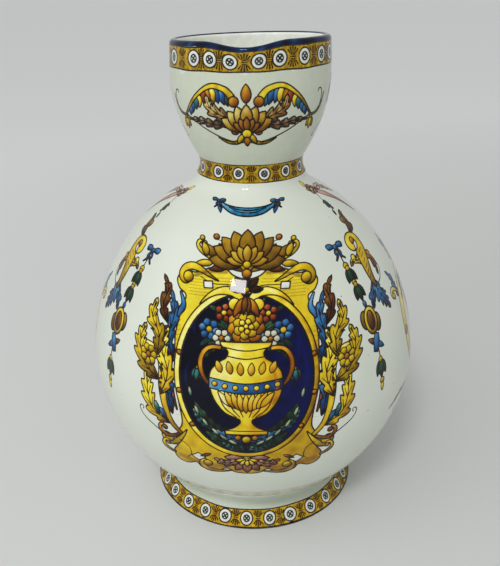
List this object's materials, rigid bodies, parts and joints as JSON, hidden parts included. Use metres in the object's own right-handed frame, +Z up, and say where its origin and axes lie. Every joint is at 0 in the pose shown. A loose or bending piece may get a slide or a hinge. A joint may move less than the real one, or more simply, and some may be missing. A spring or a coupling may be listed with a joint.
{
  "type": "earthenware ewer",
  "caption": "Globular tin-glazed earthenware ewer on a flared foot ring, with a waisted collar, a mouth cup with a drawn pouring lip, and a strap handle behind.",
  "frame": {"origin": "centre of the standing ring on the vessel's axis, at the height of the surface it stands on", "axes": "+Z up along the vessel's axis, -Y towards the pouring lip (the painted front), +Y towards the handle, +X to the right when the front is faced"},
  "size_m": [0.246, 0.246, 0.3531],
  "materials": {
    "foot_ring": "glossy tin glaze over earthenware, ochre band with white roundels",
    "body": "glossy white tin glaze over earthenware, painted ornament",
    "neck_collar": "glossy tin glaze over earthenware, ochre band with white roundels",
    "mouth_cup": "glossy white tin glaze over earthenware, painted ornament, ochre band and cobalt rim",
    "handle": "glossy white tin glaze over earthenware, painted edges"
  },
  "bodies": {
    "root": {"foot_ring": "foot_ring", "body_lower": "body", "body_upper": "body", "neck_collar": "neck_collar", "mouth_cup": "mouth_cup", "handle": "handle"}
  },
  "joints": []
}
